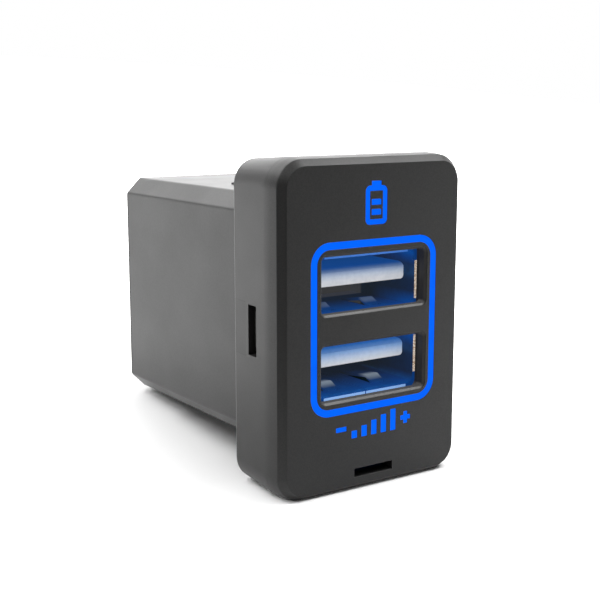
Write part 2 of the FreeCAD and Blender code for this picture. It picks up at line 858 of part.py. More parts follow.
def usb_divider():
    """The folded plate between the two ports: two leaves joined by a round nose."""
    thickness = divider_top_z - divider_bottom_z
    half_width = socket_inner_width / 2 - divider_side_gap
    front_y = socket_front_y + divider_setback
    middle_z = (divider_top_z + divider_bottom_z) / 2
    parts = []
    for shrink in (0, sheet):
        radius = thickness / 2 - shrink
        leaf = block(
            (-half_width, half_width),
            (front_y + thickness / 2, insulator_front_y),
            (middle_z - radius, middle_z + radius),
        )
        start = Vector(-half_width, front_y + thickness / 2, middle_z)
        nose = Part.makeCylinder(radius, 2 * half_width, start, Vector(1, 0, 0))
        parts.append(leaf.fuse(nose))
    divider = parts[0].cut(parts[1])
    arms = []
    windows = []
    for side in (-1, 1):
        place = (side * spring_half_spacing, divider_top_z, 0)
        arms.append(placed_on_wall(spring_arm(divider_spring_length), place))
        windows.append(placed_on_wall(spring_window(divider_spring_length), place))
    for shape in arms + windows:
        shape.translate(Vector(0, divider_spring_setback - spring_setback, 0))
    return divider.cut(windows).fuse(arms).removeSplitter()


def tongue_z(level):
    """The height of a tongue's underside: level 1 is the upper port and level 0 the lower."""
    return tongue_centre_z + (level - 0.5) * tongue_pitch - tongue_thickness / 2


def usb_insulator():
    """The moulded insulator: a rear block with a tongue for each port and channels for the contacts."""
    half_width = socket_inner_width / 2 - insulator_gap
    half_height = socket_inner_height / 2 - insulator_gap
    body = block(
        (-half_width, half_width),
        (insulator_front_y, insulator_back_y),
        (socket_centre_z - half_height, socket_centre_z + half_height),
    )
    body = body.makeChamfer(socket_corner_radius - sheet, edges_along_y(body))
    tongues = []
    for level in (0, 1):
        bottom = tongue_z(level)
        middle = bottom + tongue_thickness / 2
        tongue = rounded_prism(
            tongue_width, tongue_thickness, tongue_edge_radius, tongue_front_y, insulator_front_y, 0, middle
        )
        top = bottom + tongue_thickness
        half = tongue_width / 2
        lead_in = [
            (-half, tongue_front_y, top),
            (-half, tongue_front_y + tongue_lead_in, top),
            (-half, tongue_front_y, top - tongue_lead_in),
        ]
        tongues.append(tongue.cut(polygon_prism(lead_in, (tongue_width, 0, 0))))
    channels = []
    for level in (0, 1):
        for x in contact_spacings:
            channels += contact_strips(level, x, contact_clearance)
    return body.fuse(tongues).cut(channels).removeSplitter()


def contact_strips(level, x, gap):
    """A contact's two runs, along the tongue and down to the board, each grown by a gap."""
    half = contact_width / 2 + gap
    bottom = tongue_z(level)
    tail_y = upper_tail_y if level else lower_tail_y
    run_y = (tongue_front_y + contact_setback - gap, tail_y + contact_thickness + gap)
    run_z = (bottom, bottom + contact_thickness + gap)
    tail_z = (board_top_z, run_z[1])
    along = block((x - half, x + half), run_y, run_z)
    down = block((x - half, x + half), (tail_y - gap, tail_y + contact_thickness + gap), tail_z)
    return [along, down]


def usb_contact(level, x):
    """One contact: a strip under the tongue, bent down into the main board, with a narrow tail."""
    along, down = contact_strips(level, x, 0)
    tail_y = upper_tail_y if level else lower_tail_y
    half = contact_tail_width / 2
    tail_z = (board_bottom_z - contact_tail_length, board_top_z)
    tail = block((x - half, x + half), (tail_y, tail_y + contact_thickness), tail_z)
    return along.fuse([down, tail]).removeSplitter()


def main_board():
    """The main board, held in the housing's rails."""
    front_y = housing_front_y - main_board_gap / 2
    board = block((-board_width / 2, board_width / 2), (front_y, board_rear_y), (board_bottom_z, board_top_z))
    board = board.fuse(main_board_tabs(0))
    holes = []
    for level in (0, 1):
        tail_y = upper_tail_y if level else lower_tail_y
        slot_y = (tail_y - pin_hole_clearance, tail_y + contact_thickness + pin_hole_clearance)
        half_x = contact_tail_width / 2 + pin_hole_clearance
        for x in contact_spacings:
            holes.append(block((x - half_x, x + half_x), slot_y, (board_bottom_z, board_top_z)))
    for side, y in socket_leg_places():
        middle_x = side * (socket_inner_width + sheet) / 2
        half_x = sheet / 2 + pin_hole_clearance
        half_y = socket_leg_width / 2 + pin_hole_clearance
        slot_x = (middle_x - half_x, middle_x + half_x)
        holes.append(block(slot_x, (y - half_y, y + half_y), (board_bottom_z, board_top_z)))
    for side in (-1, 1):
        radius = inlet_pin / math.sqrt(2) + pin_hole_clearance
        holes.append(upright(radius, board_bottom_z, board_top_z, inlet_pin_x(side), inlet_tail_y))
    return board.cut(holes).removeSplitter()


def inlet_pin_x(side):
    """The x of one of the inlet's two pins."""
    return inlet_centre_x + side * inlet_pin_pitch / 2


def power_inlet():
    """The shrouded two-pin inlet, open at the rear, with a keyway in its upper wall."""
    half_x = inlet_width / 2
    top_z = board_top_z + inlet_height
    rear_y = inlet_front_y + inlet_length
    body_x = (inlet_centre_x - half_x, inlet_centre_x + half_x)
    body = block(body_x, (inlet_front_y, rear_y), (board_top_z, top_z))
    mouth_x = half_x - inlet_wall
    mouth = block(
        (inlet_centre_x - mouth_x, inlet_centre_x + mouth_x),
        (rear_y - inlet_depth, rear_y),
        (board_top_z + inlet_wall, top_z - inlet_wall),
    )
    keyway_half = inlet_keyway_width / 2
    keyway = block(
        (inlet_centre_x - keyway_half, inlet_centre_x + keyway_half),
        (rear_y - inlet_depth / 2, rear_y),
        (top_z - inlet_wall, top_z),
    )
    holes = []
    for side in (-1, 1):
        holes += inlet_pin_runs(side, contact_clearance)
    return body.cut([mouth, keyway] + holes)


def inlet_pin_runs(side, gap):
    """A pin's level run out of the shroud's floor and its run down to the board, grown by a gap."""
    x = inlet_pin_x(side)
    half = inlet_pin / 2 + gap
    tip_y = inlet_front_y + inlet_length - inlet_pin_recess
    top_z = inlet_centre_z + half
    level_run = block((x - half, x + half), (inlet_tail_y - half, tip_y), (inlet_centre_z - half, top_z))
    down_run = block((x - half, x + half), (inlet_tail_y - half, inlet_tail_y + half), (board_top_z, top_z))
    return [level_run, down_run]


def inlet_pin_bar(side):
    """One square pin of the inlet, bent down through the main board, with a tapered tip."""
    level_run, down_run = inlet_pin_runs(side, 0)
    tip_y = level_run.BoundBox.YMax
    tip_edges = edges_at_y(level_run, tip_y)
    level_run = level_run.makeChamfer(inlet_pin_taper, tip_edges)
    x = inlet_pin_x(side)
    half = inlet_pin / 2
    tail_y = (inlet_tail_y - half, inlet_tail_y + half)
    tail = block((x - half, x + half), tail_y, (board_bottom_z - contact_tail_length, board_top_z))
    return level_run.fuse([down_run, tail]).removeSplitter()


def inductor():
    """The shielded coil: a block with cut corners on a thin foot."""
    half = inductor_size / 2
    y = (inductor_y - half, inductor_y + half)
    foot_z = board_top_z + inductor_foot
    core = block((inductor_x - half, inductor_x + half), y, (foot_z, board_top_z + inductor_height))
    edges = [edge for edge in core.Edges if edge.BoundBox.ZLength > inductor_foot]
    core = core.makeChamfer(inductor_corner, edges)
    foot_half = half - inductor_foot
    foot_y = (inductor_y - foot_half, inductor_y + foot_half)
    foot = block((inductor_x - foot_half, inductor_x + foot_half), foot_y, (board_top_z, foot_z))
    return core.fuse(foot)


def can_capacitor(height, x):
    """A can capacitor on its square base."""
    radius = can_radius
    base_z = board_top_z + can_base
    base = block((x - radius, x + radius), (can_row_y - radius, can_row_y + radius), (board_top_z, base_z))
    return base.fuse(upright(radius, base_z, board_top_z + height, x, can_row_y))


def controller_chip(x):
    """An eight-lead chip under the main board."""
    package = block(
        (x - chip_width / 2, x + chip_width / 2),
        (chip_y - chip_length / 2, chip_y + chip_length / 2),
        (board_bottom_z - chip_height, board_bottom_z - chip_stand_off),
    )
    leads = []
    for number in range(chip_lead_count):
        y = chip_y + (number - (chip_lead_count - 1) / 2) * chip_lead_pitch
        leads += [chip_lead(x, y, side) for side in (-1, 1)]
    return package.fuse(leads).removeSplitter()


def chip_lead(x, y, side):
    """One lead of a chip, bent from the middle of its side to the board."""
    inner_x = x + side * chip_width / 2
    outer_x = inner_x + side * chip_lead_reach
    bend_x = outer_x - side * contact_thickness
    lead_y = (y - chip_lead_width / 2, y + chip_lead_width / 2)
    middle_z = board_bottom_z - chip_height / 2
    level = block((inner_x, outer_x), lead_y, (middle_z, middle_z + contact_thickness))
    foot = block((bend_x, outer_x), lead_y, (middle_z, board_bottom_z))
    return level.fuse(foot)


def capped_block(x, length, width, height, cap):
    """A two-ended surface-mount part under the board, with its end caps proud of the middle."""
    across = (x - width / 2, x + width / 2)
    low = board_bottom_z - height
    whole = block(across, (diode_y - length / 2, diode_y + length / 2), (low, board_bottom_z))
    middle_y = (diode_y - length / 2 + cap, diode_y + length / 2 - cap)
    under = block(across, middle_y, (low, low + cap_relief))
    over = block(across, middle_y, (board_bottom_z - cap_relief, board_bottom_z))
    return whole.cut(under).cut(over)


def export(name, shape):
    """Writes one solid to its own file."""
    shape.exportStep("parts/" + name + ".step")


def main():
    """Builds each part and writes it."""
    os.makedirs("parts", exist_ok=True)
    export("front_bezel", front_bezel())
    export("ring_light", ring_light())
    export("symbol_lens", symbol_lens())
    export("marks_lens", marks_lens())
    export("lamp_board", lamp_board())
    for number, place in enumerate(lamp_places(), 1):
        export("lamp_" + str(number), lamp(place))
    export("rear_housing", rear_housing())
    export("usb_shell", usb_shell())
    export("usb_divider", usb_divider())
    export("usb_insulator", usb_insulator())
    for level, port in enumerate(("lower", "upper")):
        for number, x in enumerate(contact_spacings, 1):
            export("contact_" + port + "_" + str(number), usb_contact(level, x))
    export("main_board", main_board())
    export("power_inlet", power_inlet())
    for side, pole in ((-1, "negative"), (1, "positive")):
        export("inlet_pin_" + pole, inlet_pin_bar(side))
    export("inductor", inductor())
    export("input_capacitor", can_capacitor(input_can_height, -can_pitch))
    for number in (1, 2):
        export("output_capacitor_" + str(number), can_capacitor(output_can_height, (number - 1) * can_pitch))
    for number, side in enumerate((-1, 1), 1):
        export("controller_chip_" + str(number), controller_chip(side * chip_x))
    export("rectifier", capped_block(-chip_x, diode_length, diode_width, diode_height, diode_cap))
    export("fuse", capped_block(chip_x, fuse_length, fuse_width, fuse_height, fuse_cap))


main()
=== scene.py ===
import json
import math

import bmesh
import bpy
import numpy as np
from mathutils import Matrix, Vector


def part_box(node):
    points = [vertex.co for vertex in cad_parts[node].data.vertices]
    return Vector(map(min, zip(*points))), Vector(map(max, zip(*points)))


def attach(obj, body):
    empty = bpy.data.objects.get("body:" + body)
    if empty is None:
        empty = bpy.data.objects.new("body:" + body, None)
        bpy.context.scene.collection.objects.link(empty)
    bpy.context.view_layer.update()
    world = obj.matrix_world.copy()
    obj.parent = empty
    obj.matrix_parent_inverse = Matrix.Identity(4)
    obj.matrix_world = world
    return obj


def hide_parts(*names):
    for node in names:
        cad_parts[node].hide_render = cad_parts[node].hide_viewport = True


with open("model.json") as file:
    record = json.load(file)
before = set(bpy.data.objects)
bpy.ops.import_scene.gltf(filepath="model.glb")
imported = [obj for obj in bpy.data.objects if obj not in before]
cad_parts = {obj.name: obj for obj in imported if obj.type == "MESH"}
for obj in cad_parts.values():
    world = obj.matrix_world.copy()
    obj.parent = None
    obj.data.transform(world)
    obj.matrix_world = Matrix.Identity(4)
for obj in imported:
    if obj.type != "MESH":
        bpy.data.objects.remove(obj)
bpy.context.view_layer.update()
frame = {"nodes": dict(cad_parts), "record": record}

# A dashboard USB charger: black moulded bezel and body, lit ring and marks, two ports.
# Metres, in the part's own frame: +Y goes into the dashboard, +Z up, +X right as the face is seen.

mm = 0.001
nodes = frame["nodes"]
scene = bpy.context.scene

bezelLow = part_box("front_bezel")[0]
faceY = bezelLow.y                  # the front face's plane
rimY = 0.0                          # the frame's origin lies in the plane of the collar's rear rim
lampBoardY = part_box("lamp_board")[0].y
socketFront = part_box("usb_shell")[0].y


# Meshes

def linkObject(name, mesh):
    piece = bpy.data.objects.new(name, mesh)
    scene.collection.objects.link(piece)
    return piece


def gridPiece(name, points):
    # points is an array of rows by columns by 3; each cell of the grid becomes one quad
    rows, columns = points.shape[:2]
    row, column = np.meshgrid(np.arange(rows - 1), np.arange(columns - 1), indexing="ij")
    corner = row * columns + column
    quads = np.stack([corner, corner + 1, corner + columns + 1, corner + columns], axis=-1)
    mesh = bpy.data.meshes.new(name)
    mesh.from_pydata(points.reshape(-1, 3).tolist(), [], quads.reshape(-1, 4).tolist())
    return linkObject(name, mesh)


def place(piece, slot, material, *replaced):
    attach(piece, "root")
    if replaced:
        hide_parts(*replaced)
    piece.data.materials.clear()
    piece.data.materials.append(material)


# Materials

def newMaterial(name):
    material = bpy.data.materials.new(name)
    material.use_nodes = True
    tree = material.node_tree
    shader = tree.nodes["Principled BSDF"]
    return material, tree, shader


def addNode(tree, kind, inputs=None, **settings):
    node = tree.nodes.new(kind)
    for key, value in settings.items():
        setattr(node, key, value)
    for key, value in (inputs or {}).items():
        if isinstance(value, bpy.types.NodeSocket):
            tree.links.new(value, node.inputs[key])
        else:
            node.inputs[key].default_value = value
    return node


def objectPoint(tree):
    return addNode(tree, "ShaderNodeTexCoord").outputs["Object"]


def noiseAt(tree, point, size, detail=3.0, roughness=0.55):
    # a noise whose blobs are about the given size in metres
    return addNode(tree, "ShaderNodeTexNoise", {"Vector": point, "Scale": 1.0 / size,
                                                "Detail": detail, "Roughness": roughness}).outputs["Fac"]


def ranged(tree, value, low, high, fromLow=0.0, fromHigh=1.0):
    return addNode(tree, "ShaderNodeMapRange", {"Value": value, "From Min": fromLow, "From Max": fromHigh,
                                                "To Min": low, "To Max": high}).outputs["Result"]


def mottled(tree, noise, low, high, window=(0.35, 0.65)):
    # a noise spread over its middle range, from low to high
    return ranged(tree, noise, low, high, *window)


def calc(tree, operation, first, second=0.0):
    return addNode(tree, "ShaderNodeMath", {0: first, 1: second}, operation=operation).outputs[0]


def mixColour(tree, factor, first, second):
    node = addNode(tree, "ShaderNodeMix", data_type="RGBA")
    for key, value in ((0, factor), (6, first), (7, second)):
        if isinstance(value, bpy.types.NodeSocket):
            tree.links.new(value, node.inputs[key])
        else:
            node.inputs[key].default_value = value
    return node.outputs[2]


def blend(tree, operation, *values):
    # the same operation over several values in a row
    total = values[0]
    for value in values[1:]:
        total = calc(tree, operation, total, value)
    return total


def near(tree, value, middle, half, soft):
    # 1 within half of the middle, falling to 0 over the soft distance outside it
    gap = calc(tree, "ABSOLUTE", calc(tree, "SUBTRACT", value, middle))
    return ranged(tree, gap, 1.0, 0.0, half, half + soft)


def axesOf(tree, vector):
    axes = addNode(tree, "ShaderNodeSeparateXYZ", {"Vector": vector}).outputs
    return axes["X"], axes["Y"], axes["Z"]


def bumped(tree, shader, height, distance):
    bump = addNode(tree, "ShaderNodeBump", {"Height": height, "Distance": distance, "Strength": 1.0})
    tree.links.new(bump.outputs["Normal"], shader.inputs["Normal"])


def edgeWearAndSheen(tree, point, look):
    # rubbed wear and a painted highlight along the edges: 0 on flats and 1 along a sharp edge, broken up by
    # noise
    rounded = addNode(tree, "ShaderNodeBevel", {"Radius": look["rubWidth"]}, samples=4).outputs["Normal"]
    flat = addNode(tree, "ShaderNodeNewGeometry").outputs["Normal"]
    alike = addNode(tree, "ShaderNodeVectorMath", {0: rounded, 1: flat}, operation="DOT_PRODUCT")
    edge = ranged(tree, alike.outputs["Value"], 1.0, 0.0, *look["rubTurn"])
    patch = mottled(tree, noiseAt(tree, point, look["rubPatch"]), look["rubLeast"], 1.0, (0.40, 0.60))
    return calc(tree, "MULTIPLY", edge, patch)


def ramp(tree, value, stops):
    # colours along a value from 0 to 1
    node = addNode(tree, "ShaderNodeValToRGB", {"Fac": value})
    marks = node.color_ramp.elements
    while len(marks) < len(stops):
        marks.new(0.5)
    for mark, (position, colour) in zip(marks, stops):
        mark.position = position
        mark.color = (*colour, 1.0)
    return node.outputs["Color"]


plasticLook = {
    "colour": (0.0155, 0.0152, 0.0150, 1.0),
    "fleck": (0.0215, 0.0212, 0.0208, 1.0),
    # lighter edges: rubbed wear and a painted highlight
    "rubbedAndSheen": (0.060, 0.060, 0.060, 1.0),
    "rubWidth": 0.10 * mm,
    "rubTurn": (0.80, 0.985),       # likeness of the rounded and the flat direction, at an edge and off it
    "rubPatch": 1.4 * mm,
    "rubLeast": 0.25,
    "grain": 0.075 * mm,            # spark-eroded texture of the mould
    "grainDepth": 0.0022 * mm,
    "speck": 1.7,                   # size of the flecks against the grain
    "cloud": 6.0 * mm,              # slow change of sheen over the surface
    "roughness": (0.44, 0.48),
    "refraction": 1.5,
    "rim": (0.16, 0.16, 0.16, 1.0), # painted highlight: a light line along the collar's rear edge
    "rimBand": (-0.32 * mm, -0.26 * mm),
    "rimTurn": (0.35, 0.60),        # how far it may face the rear
    "witness": (2.75 * mm, -0.1 * mm, -2.5 * mm),   # half height, middle z and front y of the slide's mark
    "witnessDepth": (0.3 * mm, 0.5 * mm),           # how far in from the collar's side it fades
    "witnessSoft": 0.03 * mm,
    "shine": (0.37, 0.33),          # specular level off the mark and on it
    "borderShine": 0.08,            # what its border loses
    "openings": (7.2 * mm, 8.6 * mm),               # half width and half height of the field with the ports
    "openingSoft": 0.05 * mm,
    "openingDepth": (0.03 * mm, 0.10 * mm),         # behind the face's plane
    "openingGlow": (0.012, 0.055),  # painted light, on the walls and on the sills
    "sillTilt": (0.3, 0.6),         # how far up a sill faces
    # colour of the painted light in the openings
    "sill": (1.0, 0.97, 0.95, 1.0),
}


def slideWitness(tree, point):
    # the mark of the mould's slide, from the side window to the collar's rear rim: its field and its border
    look = plasticLook
    half, middle, front = look["witness"]
    soft = look["witnessSoft"]
    x, y, z = axesOf(tree, point)
    full, none = (bezelLow.x + depth for depth in look["witnessDepth"])
    side = calc(tree, "MULTIPLY", ranged(tree, y, 0.0, 1.0, front, front + soft),
                ranged(tree, x, 1.0, 0.0, full, none))
    field = calc(tree, "MULTIPLY", side, near(tree, z, middle, half, soft))
    fromMiddle = calc(tree, "ABSOLUTE", calc(tree, "SUBTRACT", z, middle))
    return field, calc(tree, "MULTIPLY", side, near(tree, fromMiddle, half, soft, soft * 4 / 3))


def openingLight(tree, point):
    # painted light: a faint glow on the walls and sills of the port openings
    look = plasticLook
    x, y, z = axesOf(tree, point)
    halfX, halfZ = look["openings"]
    soft = look["openingSoft"]
    start, full = (faceY + depth for depth in look["openingDepth"])
    inside = blend(tree, "MULTIPLY", near(tree, x, 0.0, halfX, soft), near(tree, z, 0.0, halfZ, soft),
                   ranged(tree, y, 0.0, 1.0, start, full))
    up = axesOf(tree, addNode(tree, "ShaderNodeNewGeometry").outputs["Normal"])[2]
    return calc(tree, "MULTIPLY", inside, ranged(tree, up, *look["openingGlow"], *look["sillTilt"]))


def blackPlastic(name, roughShift=0.0, grainScale=1.0, bezel=False):
    look = plasticLook
    material, tree, shader = newMaterial(name)
    point = objectPoint(tree)
    fine = noiseAt(tree, point, look["grain"] * grainScale, 2.0, 0.6)
    speck = noiseAt(tree, point, look["grain"] * grainScale * look["speck"], 1.0)
    cloud = noiseAt(tree, point, look["cloud"], 2.0)
    tone = mixColour(tree, mottled(tree, speck, 0.0, 1.0), look["colour"], look["fleck"])
    # lighter edges: rubbed wear and a painted highlight
    tone = mixColour(tree, edgeWearAndSheen(tree, point, look), tone, look["rubbedAndSheen"])
    rough = mottled(tree, cloud, *[value + roughShift for value in look["roughness"]])
    tree.links.new(rough, shader.inputs["Roughness"])
    shader.inputs["IOR"].default_value = look["refraction"]
    if bezel:
        y = axesOf(tree, point)[1]
        facing = axesOf(tree, addNode(tree, "ShaderNodeNewGeometry").outputs["True Normal"])[1]
        # painted highlight: a light line along the collar's rear edge, on its side-facing part
        start, full = (rimY + depth for depth in look["rimBand"])
        rim = calc(tree, "MULTIPLY", ranged(tree, y, 0.0, 1.0, start, full),
                   ranged(tree, facing, 1.0, 0.0, *look["rimTurn"]))
        tone = mixColour(tree, rim, tone, look["rim"])
        field, border = slideWitness(tree, point)
        shine = calc(tree, "SUBTRACT", ranged(tree, field, *look["shine"]),
                     calc(tree, "MULTIPLY", border, look["borderShine"]))
        tree.links.new(shine, shader.inputs["Specular IOR Level"])
        # painted light on the walls and sills of the openings
        shader.inputs["Emission Color"].default_value = look["sill"]
        tree.links.new(openingLight(tree, point), shader.inputs["Emission Strength"])
    tree.links.new(tone, shader.inputs["Base Color"])
    bumped(tree, shader, fine, look["grainDepth"] * grainScale)
    return material


lightLook = {
    "colour": (0.0, 0.133, 1.0, 1.0),
    "deep": (0.0, 0.122, 0.96, 1.0),
    "unlit": (0.0, 0.004, 0.03, 1.0),
    "gloss": 0.02,
    "roughness": (0.4, 0.55),
    "grain": 0.2 * mm,
    "cloud": 2.4 * mm,
}


def lightGuide():
    look = lightLook
    material, tree, shader = newMaterial("lightGuideBlue")
    point = objectPoint(tree)
    glow = mottled(tree, noiseAt(tree, point, look["cloud"], 2.0), 0.0, 1.0, (0.35, 0.5))
    colour = mixColour(tree, glow, look["deep"], look["colour"])
    shader.inputs["Base Color"].default_value = look["unlit"]
    tree.links.new(colour, shader.inputs["Emission Color"])
    shader.inputs["Emission Strength"].default_value = 1.0
    rough = ranged(tree, noiseAt(tree, point, look["grain"]), *look["roughness"])
    tree.links.new(rough, shader.inputs["Roughness"])
    shader.inputs["Specular IOR Level"].default_value = look["gloss"]
    return material


steelLook = {
    # painted blue light: the steel's two tones are tinted blue by the lamps, and stains mix between them
    "colour": (0.014, 0.062, 0.150, 1.0),
    "dull": (0.010, 0.036, 0.078, 1.0),
    "brush": 0.03 * mm,
    "brushDepth": 0.002 * mm,
    "brushStretch": (1.0, 0.06, 1.0),   # the brushing runs along the socket
    "roughness": (0.30, 0.46),
    "stain": 1.1 * mm,
    "stainWindow": (0.4, 0.7),
    "stainShade": 0.18,                 # how far a stain dims the light
    "shadeWindow": (0.3, 0.7),
    "speckle": 0.12 * mm,
    "speckleWindow": (0.44, 0.56),
    "glance": (0.20, 0.45, 1.0, 1.0),   # painted reflection: the blue of the lamps' light in what the steel reflects at a low angle
    "shearedAndHighlight": (0.92, 0.81, 0.70, 1.0), # bare metal on the edges that face the user, glowing with a painted highlight
    "shearedDark": (0.46, 0.31, 0.19, 1.0),
    "edgeFacing": (-0.80, -0.95),       # how straight an edge faces the user
    "edgeDepth": 0.4 * mm,
    "edgeGlow": (0.8, 0.55),            # strength of the painted light off the edges and of the painted highlight on them
    "edgeSides": (5.7 * mm, 6.1 * mm),  # half width within which an edge is the roof's or the floor's
    # painted light on those edges, brighter where z is below zero
    "edgeRoof": (0.050, 0.170, 0.55, 1.0),
    "edgeFloor": (0.31, 0.54, 1.0, 1.0),
    "mouth": (0.004, 0.078, 0.360, 1.0),            # painted blue light that leaks round the socket's mouth
    # painted shade deep inside the ports
    "deep": (0.013, 0.017, 0.022, 1.0),
    "back": (0.048, 0.048, 0.049, 1.0),             # painted light on the upper port's rear half, which the light reaches
    # painted highlight on the springs' tips
    "tip": (0.30, 0.36, 0.42, 1.0),
    "reach": 7.5 * mm,
    "reachPower": 1.45,
    "core": (0.5, 0.4),             # share of a port's half height that the blue leaves, and its soft edge
    "coreShare": 0.12,              # of the blue, in that core
    "rearHalf": (9.0 * mm, 9.3 * mm),
    "ports": ((4.12 * mm, 2.87 * mm), (-4.60 * mm, 3.00 * mm)),     # middle z and half height of each port
    "floors": (1.25 * mm, -6.90 * mm),
    "tips": (3.05 * mm, 0.85 * mm, 0.05 * mm),      # middle, half width and soft edge of each port's springs
    "tipRise": (0.18 * mm, 0.62 * mm),              # above the port's floor
    "tipTop": 0.9 * mm,
    "tipReach": (2.6 * mm, 4.4 * mm),
}


def socketLight(tree, point):
    # the light in the ports as seen on the steel, painted as glow: blue at the mouth and in the corners, grey
    # deeper inside as painted shade, with painted highlights on the springs' tips
    look = steelLook
    x, y, z = axesOf(tree, point)
    reach = ranged(tree, y, 1.0, 0.0, socketFront, socketFront + look["reach"])
    core, soft = look["core"]
    cores = [near(tree, z, middle, half * core, half * soft) for middle, half in look["ports"]]
    corner = ranged(tree, calc(tree, "MAXIMUM", *cores), 1.0, look["coreShare"])
    amount = calc(tree, "MULTIPLY", calc(tree, "POWER", reach, look["reachPower"]), corner)
    start, full = (socketFront + depth for depth in look["rearHalf"])
    back = calc(tree, "MULTIPLY", calc(tree, "GREATER_THAN", z, 0.0), ranged(tree, y, 0.0, 1.0, start, full))
    # painted shade deeper inside, painted blue light at the mouth
    tone = mixColour(tree, amount, mixColour(tree, back, look["deep"], look["back"]), look["mouth"])
    across = near(tree, calc(tree, "ABSOLUTE", x), *look["tips"])
    full, none = (socketFront + depth for depth in look["tipReach"])
    for floor in look["floors"]:
        foot, crest = (floor + rise for rise in look["tipRise"])
        raised = calc(tree, "MULTIPLY", ranged(tree, z, 0.0, 1.0, foot, crest),
                      calc(tree, "LESS_THAN", z, floor + look["tipTop"]))
        tip = blend(tree, "MULTIPLY", across, raised, ranged(tree, y, 1.0, 0.0, full, none))
        # painted highlight on the springs' tips
        tone = mixColour(tree, tip, tone, look["tip"])
    return tone


def platedSteel():
    look = steelLook
    material, tree, shader = newMaterial("nickelPlate")
    point = objectPoint(tree)
    stretched = addNode(tree, "ShaderNodeMapping", {"Vector": point, "Scale": look["brushStretch"]})
    brush = noiseAt(tree, stretched.outputs["Vector"], look["brush"], 2.0)
    stain = noiseAt(tree, point, look["stain"], 4.0)
    tone = mixColour(tree, mottled(tree, stain, 0.0, 1.0, look["stainWindow"]), look["colour"], look["dull"])
    x, y, z = axesOf(tree, point)
    facing = axesOf(tree, addNode(tree, "ShaderNodeNewGeometry").outputs["Normal"])[1]
    shearedAndHighlight = calc(tree, "MULTIPLY", ranged(tree, facing, 0.0, 1.0, *look["edgeFacing"]),
                   calc(tree, "LESS_THAN", y, socketFront + look["edgeDepth"]))
    speckle = mottled(tree, noiseAt(tree, point, look["speckle"], 2.0), 0.0, 1.0, look["speckleWindow"])
    bare = mixColour(tree, speckle, look["shearedDark"], look["shearedAndHighlight"])
    toSide = ranged(tree, calc(tree, "ABSOLUTE", x), 0.0, 1.0, *look["edgeSides"])
    # painted light on the edges, brighter where z is below zero
    lit = mixColour(tree, calc(tree, "LESS_THAN", z, 0.0), look["edgeRoof"], look["edgeFloor"])
    bare = mixColour(tree, toSide, lit, bare)
    tree.links.new(mixColour(tree, shearedAndHighlight, tone, bare), shader.inputs["Base Color"])
    tree.links.new(ranged(tree, shearedAndHighlight, 1.0, 0.25), shader.inputs["Metallic"])
    # painted reflection: a blue tint on the steel's reflections
    shader.inputs["Specular Tint"].default_value = look["glance"]
    tree.links.new(ranged(tree, brush, *look["roughness"]), shader.inputs["Roughness"])
    dulled = mottled(tree, stain, 0.0, look["stainShade"], look["shadeWindow"])
    stained = mixColour(tree, dulled, socketLight(tree, point), look["deep"])
    # emission: painted light off the edges, a painted highlight on them
    tree.links.new(mixColour(tree, shearedAndHighlight, stained, bare), shader.inputs["Emission Color"])
    tree.links.new(ranged(tree, shearedAndHighlight, *look["edgeGlow"]), shader.inputs["Emission Strength"])
    bumped(tree, shader, brush, look["brushDepth"])
    return material


insulatorLook = {
    # the tongues' colour from the top edge down, painted shade and painted blue light: shaded and blued at
    # the top edge under the blue light that leaks in above them, paler lower down
    "height": 1.84 * mm,
    "upperTop": 5.93 * mm,
    "lowerTop": -2.27 * mm,
    "upper": ((0.0, (0.002, 0.060, 0.26)), (0.10, (0.025, 0.085, 0.27)), (0.20, (0.10, 0.17, 0.33)),
              (0.36, (0.24, 0.31, 0.46)), (0.54, (0.42, 0.48, 0.57)), (0.76, (0.54, 0.56, 0.61)),
              (1.0, (0.57, 0.58, 0.60))),
    "lower": ((0.0, (0.012, 0.11, 0.40)), (0.15, (0.07, 0.19, 0.47)), (0.40, (0.19, 0.32, 0.56)),
              (0.65, (0.38, 0.47, 0.62)), (0.85, (0.48, 0.53, 0.61)), (1.0, (0.53, 0.55, 0.59))),
    "soft": 0.08 * mm,              # edge of the tongues' colour
    "base": 0.75,                   # share of that colour in the surface itself
    "lift": 0.74,                   # and as painted light of its own
    "mottle": (0.0, 0.05, 0.16, 1.0),
    "mottleSize": 0.5 * mm,
    "mottleShare": 0.10,
    "roughness": (0.42, 0.58),
    "grain": 0.12 * mm,
    "dimple": (0.09 * mm, 0.004 * mm),              # size and depth
    "below": (0.018, 0.019, 0.022, 1.0),            # painted shade on what lies outside the tongues
    # lighter painted shade in the upper half
    "belowUpper": (0.048, 0.048, 0.049, 1.0),
    # painted blue light above the upper tongue
    "above": (0.008, 0.050, 0.200, 1.0),
}


